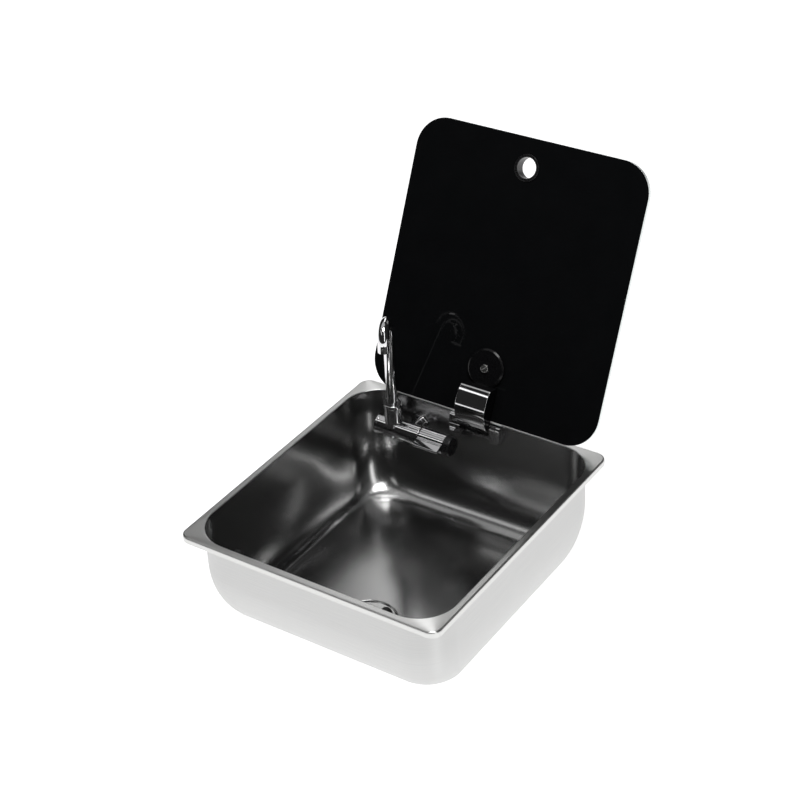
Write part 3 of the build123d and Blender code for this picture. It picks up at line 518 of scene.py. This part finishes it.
dress("strainer", pressed_steel)
dress("drain_screw", pressed_steel)
dress("drain_gasket", rubber)
dress("waste_body", black_plastic)

# ---------------------------------------------------------------- hinge bracket and pin
# A chromed casting on the rear wall: two lugs with a low bridge between them, a steel pin
# through both, and a zinc-plated backing plate with two screws outside the wall.
rear_wall = rim_depth / 2 - opening_inset
pivot_y = rear_wall - 6.6
pivot_z = 6.2
lug_r = 5.6
lug_inner = 19.9
lug_outer = 33.0
lug_foot = -12.0
bridge_top = -9.0
bridge_depth = 6.0
pin_r = 2.5

chrome = grained("chrome_plate", dark=(0.74, 0.74, 0.75), light=(0.8, 0.8, 0.81),
                 roughness=(0.03, 0.07), grain=60.0, metallic=1.0)
zinc = grained("zinc_plate", dark=(0.44, 0.46, 0.47), light=(0.6, 0.61, 0.6),
               roughness=(0.28, 0.45), grain=160.0, detail=4.0, metallic=1.0,
               relief=0.00002, strength=0.3)


def slab(outline, low, high, place, edge=0.0, holes=()):
    """Mesh of a flat outline in mm, made thick from low to high, with its edges rounded."""
    work = bmesh.new()
    rims = []
    for path in (outline, *holes):
        verts = [work.verts.new((x * MM, y * MM, low * MM)) for x, y in path]
        rims += [work.edges.new((verts[i - 1], verts[i])) for i in range(len(verts))]
    if holes:
        bmesh.ops.triangle_fill(work, use_beauty=True, use_dissolve=False, edges=rims)
    else:
        work.faces.new(work.verts[:])
    grown = bmesh.ops.extrude_face_region(work, geom=work.faces[:])
    top = [part for part in grown["geom"] if isinstance(part, bmesh.types.BMVert)]
    bmesh.ops.translate(work, verts=top, vec=(0, 0, (high - low) * MM))
    bmesh.ops.recalc_face_normals(work, faces=work.faces)
    if edge:
        work.normal_update()
        steep, level = math.radians(50), 0.001 * MM
        rim_edges = [line for line in work.edges
                     if len(line.link_faces) == 2 and line.calc_face_angle() > steep
                     and abs((line.verts[0].co - line.verts[1].co).z) < level]
        bmesh.ops.bevel(work, geom=rim_edges, offset=edge * MM, segments=3, profile=0.5,
                        affect="EDGES", clamp_overlap=True)
    mesh = bpy.data.meshes.new("slab")
    work.to_mesh(mesh)
    work.free()
    mesh.transform(place)
    return mesh


def circle(radius, steps=64, cx=0.0, cy=0.0, start=0.0, end=360.0):
    """Points round a circle, or along part of it with both ends."""
    whole = abs(end - start) >= 360
    count = steps if whole else steps + 1
    turns = [math.radians(start + (end - start) * i / steps) for i in range(count)]
    return [(cx + radius * math.cos(t), cy + radius * math.sin(t)) for t in turns]


cast_edge = 0.7
bridge_lap = 1.0
wall_gap = rear_wall - pivot_y
lug_low = lug_foot - pivot_z
bridge_high = bridge_top - pivot_z
hinge_line = placed(0, pivot_y, pivot_z, Y, Z)
lug_outline = circle(lug_r, 40, start=0, end=180) + rounded(
    [(-lug_r, 0, 0), (-lug_r, lug_low, 1.2), (wall_gap, lug_low, 0.4), (wall_gap, 0, 1.0),
     (lug_r, 0, 0)])[1:-1]
bridge_outline = rounded([(wall_gap - bridge_depth, lug_low, 0.8), (wall_gap, lug_low, 0.2),
                          (wall_gap, bridge_high, 0.4),
                          (wall_gap - bridge_depth, bridge_high, 0.8)], closed=True)
pin_hole = circle(pin_r, 40)
hinge_bracket = piece("hinge_bracket_cast", [
    slab(lug_outline, lug_inner, lug_outer, hinge_line, cast_edge, [pin_hole]),
    slab(lug_outline, -lug_outer, -lug_inner, hinge_line, cast_edge, [pin_hole]),
    slab(bridge_outline, -lug_inner - bridge_lap, lug_inner + bridge_lap, hinge_line)],
    [chrome], crease=40)
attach(hinge_bracket, "root")
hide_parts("hinge_bracket")

dress("hinge_pin", pressed_steel)
dress("backing_plate", zinc)
dress("bracket_screws", zinc)

# ---------------------------------------------------------------- glass lid
# Toughened 5 mm glass, printed black on one face, with a ground and polished edge that shows
# light. It has a finger hole near the front and one more for the clamp.
lid_width = 296.0
lid_depth = 320.4
lid_corner = 37.0
glass_under = -1.7
glass_over = 3.3
glass_rear = -7.1
clamp_y = glass_rear - 57.2
finger_x = -3.0
finger_y = glass_rear - 286.9
finger_hole_r = 13.6
clamp_hole_r = 7.0
glass_rounding = 1.05
open_angle = 115.3
lid_place = Matrix.Translation(Vector((0, pivot_y, pivot_z)) * MM) @ Matrix.Rotation(
    math.radians(-open_angle), 4, "X")
lid_side = lid_place @ Matrix((Y, Z, X)).transposed().to_4x4()

black_glass = grained("black_glass", dark=(0.006, 0.0064, 0.007), light=(0.0072, 0.0076, 0.0083),
                      roughness=(0.04, 0.07), grain=30.0, specular=0.12)
glass_edge = grained("glass_edge", dark=(0.82, 0.86, 0.85), light=(0.88, 0.92, 0.91),
                     roughness=(0.2, 0.34), grain=260.0, metallic=0.8)

lid_outline = loop_points(lid_width, lid_depth, lid_corner, 24, 8)
lid_outline = [(x, y + glass_rear - lid_depth / 2) for x, y in lid_outline]
glass_mesh = slab(lid_outline, glass_under, glass_over, lid_place, glass_rounding,
                  [circle(finger_hole_r, 72, finger_x, finger_y),
                   circle(clamp_hole_r, 48, 0, clamp_y)])

# The two flat faces are black, and all that lies between them is the pale ground edge.
lid_up = (lid_place.to_3x3() @ Z).normalized()
flat_share = 0.9
for poly in glass_mesh.polygons:
    poly.material_index = 0 if abs(poly.normal.dot(lid_up)) > flat_share else 1
glass_lid = piece("glass_lid_pane", [glass_mesh], [black_glass, glass_edge])
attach(glass_lid, "lid")
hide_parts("glass_lid")

# ---------------------------------------------------------------- finger ring
# Moulded black ring pressed into the finger hole, with a thin lip under the glass and a raised
# rim above it.
ring_bore = 11.8
ring_lip = 1.6
ring_front = 1.0
ring_rear = 8.0
lip_r = finger_hole_r + ring_lip
lip_face = glass_under - ring_front
ring_end = glass_over + ring_rear
ring_axis = lid_place @ Matrix.Translation(Vector((finger_x, finger_y, 0)) * MM)
ring_outline = rounded([(ring_bore, lip_face, 0.4), (lip_r, lip_face, 0.6),
                        (lip_r, glass_under, 0), (finger_hole_r, glass_under, 0),
                        (finger_hole_r, ring_end, 0.6), (ring_bore, ring_end, 0.6)], closed=True)
finger_ring = piece("finger_ring_moulded", [turned(ring_outline, ring_axis, 72, ring=True)],
                    [black_plastic])
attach(finger_ring, "lid")
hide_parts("finger_ring")

# ---------------------------------------------------------------- hinge arm and clamp
# A black cast arm: a knuckle on the pin, a curved body and a round foot under the glass. A cap
# with a post sits above the glass, rubber pads lie between, and a slotted screw pulls all tight.
arm_half = 18.8
knuckle_r = 5.0
bush_r = 3.5
cover_cy = -24.5
cover_cz = 12.1
cover_r = 36.6
cover_sheet = 1.6
cover_start = -36.0
cover_end = -120.3
arm_nose = -46.0
pad_thick = 1.0
foot_thick = 4.0
cap_thick = 4.0
pad_face = glass_under - pad_thick
disc_face = pad_face - foot_thick
disc_r = 23.0
disc_slope = 2.2
disc_slope_drop = 1.6
cap_base = glass_over + pad_thick
cap_top = cap_base + cap_thick
post_r = 6.7
clamp_thread_r = 2.5
clamp_thread_depth = 9.0

cast_black = grained("black_casting", dark=(0.004, 0.004, 0.0045), light=(0.009, 0.009, 0.01),
                     roughness=(0.14, 0.22), grain=1100.0, detail=4.0, specular=0.25,
                     relief=0.00001, strength=0.2)

# The arm's outline runs round the knuckle, along the glass and back under the cover.
under_cover = circle(cover_r - cover_sheet, 48, cover_cy, cover_cz, cover_start, cover_end)
knuckle_left = -math.sqrt(knuckle_r ** 2 - pad_face ** 2)
knuckle_low = -math.sqrt(knuckle_r ** 2 - under_cover[0][0] ** 2)
knuckle_from = math.degrees(math.atan2(knuckle_low, under_cover[0][0]))
knuckle_to = 360 + math.degrees(math.atan2(pad_face, knuckle_left))
arm_outline = circle(knuckle_r, 48, start=knuckle_from, end=knuckle_to) + rounded(
    [(knuckle_left, pad_face, 0), (arm_nose, pad_face, 1.5), (*under_cover[-1], 1.0),
     (*under_cover[-2], 0)])[1:-1] + under_cover[-3::-1]
clamp_axis = lid_place @ Matrix.Translation(Vector((0, clamp_y, 0)) * MM)
foot_outline = rounded([(clamp_thread_r, pad_face, 0), (clamp_thread_r, disc_face, 0.2),
                        (disc_r - disc_slope, disc_face, 1.2),
                        (disc_r, disc_face + disc_slope_drop, 0.8), (disc_r, pad_face, 0.4)],
                       closed=True)
hinge_arm = piece("hinge_arm_cast", [
    slab(arm_outline, -arm_half, arm_half, lid_side, edge=0.5, holes=[circle(bush_r, 40)]),
    turned(foot_outline, clamp_axis, 96, ring=True)], [cast_black], crease=40)
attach(hinge_arm, "lid")
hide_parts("hinge_arm")

thread_floor = disc_face + clamp_thread_depth
cap_outline = rounded([(0, cap_top, 0), (disc_r, cap_top, 2.0), (disc_r, cap_base, 0.4),
                       (post_r, cap_base, 0), (post_r, pad_face, 0),
                       (clamp_thread_r, pad_face, 0), (clamp_thread_r, thread_floor, 0),
                       (0, thread_floor, 0)], steps=8)
clamp_cap = piece("clamp_cap_cast", [turned(cap_outline, clamp_axis, 96)], [cast_black], crease=50)
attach(clamp_cap, "lid")
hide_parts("clamp_cap")

white_plastic = grained("white_plastic", dark=(0.68, 0.68, 0.66), light=(0.76, 0.76, 0.74),
                        roughness=(0.35, 0.5), grain=700.0, relief=0.00003, strength=0.25)
dress("clamp_pads", rubber)
dress("clamp_screw", pressed_steel)
dress("hinge_bushes", white_plastic)

# ---------------------------------------------------------------- hinge cover
# A bright cover on the front of the arm: a chromed strip of 1.6 mm sheet, bent to an arc and
# clipped over the casting.
cover_half = 19.4
cover_outer = circle(cover_r, 64, cover_cy, cover_cz, cover_start, cover_end)
cover_inner = circle(cover_r - cover_sheet, 64, cover_cy, cover_cz, cover_end, cover_start)
hinge_cover = piece("hinge_cover_bent", [
    slab(cover_outer + cover_inner, -cover_half, cover_half, lid_side, edge=0.5)],
    [chrome], crease=60)
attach(hinge_cover, "lid")
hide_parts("hinge_cover")

# ---------------------------------------------------------------- tap body
# The fixed middle of the tap, machined brass and chromed: a barrel, and a stub through the
# rear wall that is threaded outside for the lock nut.
barrel_y = 146.0
barrel_z = -26.0
barrel_r = 12.5
joint_gap = 0.3
elbow_joint = -97.0
knob_joint = -65.0
stub_x = -81.0
stub_r = 9.0
thread_r = 8.2
thread_end = rear_wall + 16.0
thread_pitch = 1.6
thread_depth = 0.8
bore_r = 5.4
seam_r = 0.8
barrel_line = placed(0, barrel_y, barrel_z, Y, Z)
stub_line = placed(stub_x, barrel_y, barrel_z, Z, X)


def threaded(radius, depth, pitch, low, high, place, steps, rows_per_turn=8):
    """Mesh of a screw thread: its depth follows a helix and fades out at both ends."""
    rows = int((high - low) / pitch * rows_per_turn)
    loops = []
    for row in range(rows + 1):
        height = low + (high - low) * row / rows
        fade = min(1.0, (high - height) / pitch, (height - low) / pitch)
        loop = []
        for i in range(steps):
            phase = (height / pitch + i / steps) % 1.0
            here = radius - depth * fade * (1 - abs(2 * phase - 1))
            turn = math.tau * i / steps
            loop.append((here * math.cos(turn), here * math.sin(turn), height))
        loops.append(loop)
    return skin_mesh(loops, ring=False, place=place)


stub_lap = 0.4
thread_lead = 0.4
end_chamfer = 0.6
stub_start = math.sqrt(barrel_r ** 2 - stub_r ** 2) - stub_lap
stub_wall = rear_wall - barrel_y
neck_start = stub_wall - 2.0
thread_start = stub_wall + 1.0
stub_end = thread_end - barrel_y
body_start = elbow_joint + joint_gap
barrel_outline = rounded([(0, body_start, 0), (barrel_r, body_start, seam_r),
                          (barrel_r, knob_joint, seam_r), (0, knob_joint, 0)])
stub_outline = [(0, stub_start), (stub_r, stub_start), (stub_r, neck_start),
                (thread_r, neck_start), (thread_r, thread_start)]
end_outline = rounded([(thread_r, stub_end - thread_lead, 0),
                       (thread_r - end_chamfer, stub_end, 0.1), (bore_r, stub_end, 0),
                       (bore_r, stub_wall, 0), (0, stub_wall, 0)])
tap_body = piece("tap_body_turned", [
    turned(barrel_outline, barrel_line, 128),
    turned(stub_outline, stub_line, 64),
    threaded(thread_r, thread_depth, thread_pitch, thread_start, stub_end - thread_lead,
             stub_line, 64),
    turned(end_outline, stub_line, 64)], [chrome], crease=50)
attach(tap_body, "root")
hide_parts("tap_body")

brass = grained("turned_brass", dark=(0.66, 0.47, 0.2), light=(0.78, 0.58, 0.28),
                roughness=(0.2, 0.34), grain=1.0, stretch=(60, 900, 60), metallic=1.0,
                relief=0.00002, strength=0.3)
dress("tap_escutcheon", chrome)
dress("tap_gasket", rubber)
dress("tap_lock_nut", zinc)
dress("inlet_tail", brass)
dress("valve_cartridge", brass)
dress("knob_ring", black_plastic)

# ---------------------------------------------------------------- folding elbow
# The left end of the barrel turns on a spigot in the body, so the spout can lie down in the
# pan. A chromed cap closes its end.
barrel_left = -125.0
cap_seam = -121.0
spigot_r = 7.5
spigot_end = -86.0
elbow_outline = rounded([(0, cap_seam, 0), (barrel_r, cap_seam, 0.3),
                         (barrel_r, elbow_joint, seam_r), (spigot_r, elbow_joint, 0),
                         (spigot_r, spigot_end, 0.4), (0, spigot_end, 0)])
elbow_barrel = piece("elbow_barrel_turned", [turned(elbow_outline, barrel_line, 128)],
                     [chrome], crease=50)
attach(elbow_barrel, "tap_elbow")
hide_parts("elbow_barrel")

end_cap_outline = rounded([(0, barrel_left, 0), (barrel_r, barrel_left, 1.4),
                           (barrel_r, cap_seam, 0.3), (0, cap_seam, 0)], steps=6)
elbow_end_cap = piece("elbow_end_cap_turned", [turned(end_cap_outline, barrel_line, 128)],
                      [chrome], crease=50)
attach(elbow_end_cap, "tap_elbow")
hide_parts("elbow_end_cap")
dress("elbow_seals", rubber)

# ---------------------------------------------------------------- riser collar
# A chromed collar over the elbow's boss, cut at its foot to the round of the barrel, with a
# ring round its top and a small lug for the set screw that keeps the spout in.
riser_x = -104.0
collar_r = 11.0
collar_body_r = 10.2
collar_top = 35.5
collar_ring_h = 4.0
collar_bore = 6.8
boss_r = 9.0
boss_top = 23.0
saddle_r = barrel_r + 0.3
screw_angle = -25.0
screw_z = 30.0
screw_boss_r = 3.4
screw_boss_reach = 13.2
screw_boss_start = 8.0
set_screw_r = 2.0
collar_start = 14.0
riser_line = Matrix.Translation(Vector((riser_x, barrel_y, barrel_z)) * MM)


def saddle(radius, steps):
    """Loop of this radius round the riser that stands on the round of the barrel."""
    return [(x, y, math.sqrt(saddle_r ** 2 - y ** 2)) for x, y, _ in ring_of(radius, 0, steps)]


collar_steps = 96
ring_foot = collar_top - collar_ring_h
collar_outline = rounded([(boss_r, collar_start, 0), (boss_r, boss_top, 0),
                          (collar_bore, boss_top, 0), (collar_bore, collar_top, 0.3),
                          (collar_r, collar_top, 0.9), (collar_r, ring_foot, 0.6),
                          (collar_body_r, ring_foot - 0.4, 0.2),
                          (collar_body_r, collar_start, 0)])
collar_mesh = skin_mesh(
    [saddle(boss_r, collar_steps),
     *(ring_of(radius, height, collar_steps) for radius, height in collar_outline),
     saddle(collar_body_r, collar_steps)], place=riser_line)
screw_turn = math.radians(screw_angle)
screw_way = Vector((math.cos(screw_turn), math.sin(screw_turn), 0))
screw_line = Matrix.Translation(Vector((riser_x, barrel_y, barrel_z + screw_z)) * MM) @ (
    screw_way.to_track_quat("Z", "Y").to_matrix().to_4x4())
lug_turned = rounded([(set_screw_r, screw_boss_start, 0), (set_screw_r, screw_boss_reach, 0.3),
                      (screw_boss_r, screw_boss_reach, 0.7),
                      (screw_boss_r, screw_boss_start, 0)], closed=True)
riser_collar = piece("riser_collar_turned", [
    collar_mesh, turned(lug_turned, screw_line, 48, ring=True)], [chrome], crease=50)
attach(riser_collar, "tap_elbow")
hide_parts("riser_collar")
dress("collar_set_screw", pressed_steel)

# ---------------------------------------------------------------- spout
# One bent and chromed brass tube that hooks over at the top, with a moulded aerator pressed
# into its end. It turns in the elbow's boss.
spout_r = 6.5
spout_bore = 5.2
spout_foot = 9.8
arch_z = collar_top + 98.0
arch_r = 17.5
nozzle_z = arch_z - 6.4
swivel = math.radians(25.0)
reach_way = Vector((math.sin(swivel), -math.cos(swivel), 0))


def tube_loops(radius, steps=48, riser_rows=6, arch_rows=40):
    """Circles of this radius along the middle line of the spout, from its foot to its nozzle."""
    middle = [(Z * (spout_foot + (arch_z - spout_foot) * row / riser_rows), 90.0)
              for row in range(riser_rows + 1)]
    for row in range(1, arch_rows + 1):
        turn = 180 - 180 * row / arch_rows
        out = arch_r + arch_r * math.cos(math.radians(turn))
        rise = arch_z + arch_r * math.sin(math.radians(turn))
        middle.append((reach_way * out + Z * rise, turn - 90))
    middle.append((reach_way * 2 * arch_r + Z * nozzle_z, -90.0))
    side = reach_way.cross(Z)
    loops = []
    for spot, heading in middle:
        way = reach_way * math.cos(math.radians(heading)) + Z * math.sin(math.radians(heading))
        inward = way.cross(side)
        loops.append([spot + inward * across + side * along
                      for across, along, _ in ring_of(radius, 0, steps)])
    return loops


spout_mesh = skin_mesh(tube_loops(spout_r) + tube_loops(spout_bore)[::-1], place=riser_line)
spout_tube = piece("spout_tube_bent", [spout_mesh], [chrome], crease=50)
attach(spout_tube, "spout")
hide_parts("spout_tube")
dress("aerator", chrome)

# ---------------------------------------------------------------- knob
# A chromed hollow knob with a flat lever and two fine ribs at its root. A black plastic cap
# closes its end, and a brass spindle with a screw carries it.
knob_start = -63.5
knob_end = -31.0
lever_root_angle = 146.0
lever_reach = 12.5
lever_drop = math.radians(18.0)
lever_thick = 3.6
rib_height = 0.55
rib_spots = (0.9, 2.5)
rib_width = 0.9
rib_slope = 0.15
rib_crest_r = 0.3
lever_tip_r = 1.3
knob_wall = 1.1
knob_edge = 0.7
lever_out = Vector((-math.cos(lever_drop), -math.sin(lever_drop)))
lever_up = Vector((-math.sin(lever_drop), math.cos(lever_drop)))
lever_turn = math.radians(lever_root_angle)
lever_root = Vector((math.cos(lever_turn), math.sin(lever_turn))) * barrel_r
under_root = lever_root - lever_up * lever_thick

# Where the underside of the lever runs into the round of the barrel.
along_lever = under_root.dot(lever_out)
meet = -along_lever + math.sqrt(along_lever ** 2 - under_root.length_squared + barrel_r ** 2)
under_meet = under_root + lever_out * meet
under_angle = math.degrees(math.atan2(under_meet.y, under_meet.x))

# Over the two ribs to the tip of the lever and back underneath.
lever_points = [(*lever_root, 0)]
for spot in rib_spots:
    for shift, rise, radius in ((0, 0, rib_slope), (rib_slope, rib_height, rib_crest_r),
                                (rib_width - rib_slope, rib_height, rib_crest_r),
                                (rib_width, 0, rib_slope)):
        point = lever_root + lever_out * (spot + shift) + lever_up * rise
        lever_points.append((*point, radius))
tip = lever_root + lever_out * lever_reach
lever_points += [(*tip, lever_tip_r), (*(tip - lever_up * lever_thick), lever_tip_r),
                 (*under_meet, 0)]
knob_outline = circle(barrel_r, 128, start=under_angle, end=360 + lever_root_angle)[:-1]
knob_outline += rounded(lever_points, steps=3)[:-1]
knob_bore = circle(barrel_r - knob_wall, 96)
tap_knob = piece("tap_knob_turned", [
    slab(knob_outline, knob_start, knob_end, barrel_line, knob_edge, [knob_bore])],
    [chrome], crease=40)
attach(tap_knob, "knob")
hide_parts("tap_knob")

cap_r = 11.4
cap_seat = -34.0
cap_end = -22.5
knob_cap_outline = rounded([(0, cap_seat, 0), (cap_r, cap_seat, 0.2), (cap_r, cap_end, 1.8),
                            (0, cap_end, 0)], steps=8)
knob_end_cap = piece("knob_end_cap_moulded", [turned(knob_cap_outline, barrel_line, 96)],
                     [black_plastic])
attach(knob_end_cap, "knob")
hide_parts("knob_end_cap")
dress("valve_spindle", brass)
dress("knob_screw", zinc)

# ---------------------------------------------------------------- floor, lamps and world
# The sink stands on a plain pale floor, just under its waste. The floor glows white only where
# the camera looks at it, in metal or through glass, and keeps the shadow that the lamps throw.
floor_gap = 1.0
floor_level = cad_box[0][2] - floor_gap * MM
floor_half = 30.0
floor_glow = 0.95
corners = [(side * floor_half, end * floor_half, floor_level)
           for side, end in ((-1, -1), (1, -1), (1, 1), (-1, 1))]
floor_mesh = bpy.data.meshes.new("studio_floor")
floor_mesh.from_pydata(corners, [], [(0, 1, 2, 3)])
studio_floor = bpy.data.objects.new("studio_floor", floor_mesh)
scene.collection.objects.link(studio_floor)
floor_material, nodes, links, shader = shader_material("pale_floor")
shader.inputs["Base Color"].default_value = (0.6, 0.6, 0.6, 1)
shader.inputs["Roughness"].default_value = 0.9
shader.inputs["Specular IOR Level"].default_value = 0.1
shader.inputs["Emission Color"].default_value = (1, 1, 1, 1)
paths = nodes.new("ShaderNodeLightPath")
seen = paths.outputs["Is Camera Ray"]
for kind in ("Is Glossy Ray", "Is Transmission Ray"):
    either = nodes.new("ShaderNodeMath")
    either.operation = "MAXIMUM"
    links.new(seen, either.inputs[0])
    links.new(paths.outputs[kind], either.inputs[1])
    seen = either.outputs[0]
glow = nodes.new("ShaderNodeMath")
glow.operation = "MULTIPLY"
glow.inputs[1].default_value = floor_glow
links.new(seen, glow.inputs[0])
links.new(glow.outputs[0], shader.inputs["Emission Strength"])
floor_mesh.materials.append(floor_material)

world = bpy.data.worlds.new("studio")
scene.world = world
world.use_nodes = True
background = world.node_tree.nodes["Background"]
background.inputs["Color"].default_value = (0.02, 0.02, 0.02, 1)
background.inputs["Strength"].default_value = 1.0


def soft_lamp(name, place, width, height, radiance):
    """Soft rectangular lamp of even brightness, in metres, aimed at the origin of the sink."""
    data = bpy.data.lights.new(name, "AREA")
    data.shape = "RECTANGLE"
    data.size = width
    data.size_y = height
    data.energy = radiance * math.pi * width * height
    lamp = bpy.data.objects.new(name, data)
    turn = (-Vector(place)).to_track_quat("-Z", "Y").to_matrix().to_4x4()
    lamp.matrix_world = Matrix.Translation(place) @ turn
    scene.collection.objects.link(lamp)


soft_lamp("back_left", place=(-1.25, 2.15, 1.6), width=0.6, height=1.9, radiance=1.6)
soft_lamp("right_strip", place=(1.65, -0.75, 1.35), width=0.32, height=2.2, radiance=2.4)
soft_lamp("front_left", place=(-1.0, -1.3, 1.9), width=1.6, height=0.22, radiance=1.4)
soft_lamp("overhead_soft", place=(-1.0, 0.3, 2.4), width=2.2, height=2.0, radiance=0.45)
soft_lamp("overhead_key", place=(0.3, -0.3, 2.4), width=0.9, height=0.9, radiance=9.0)

scene.view_settings.view_transform = "Standard"
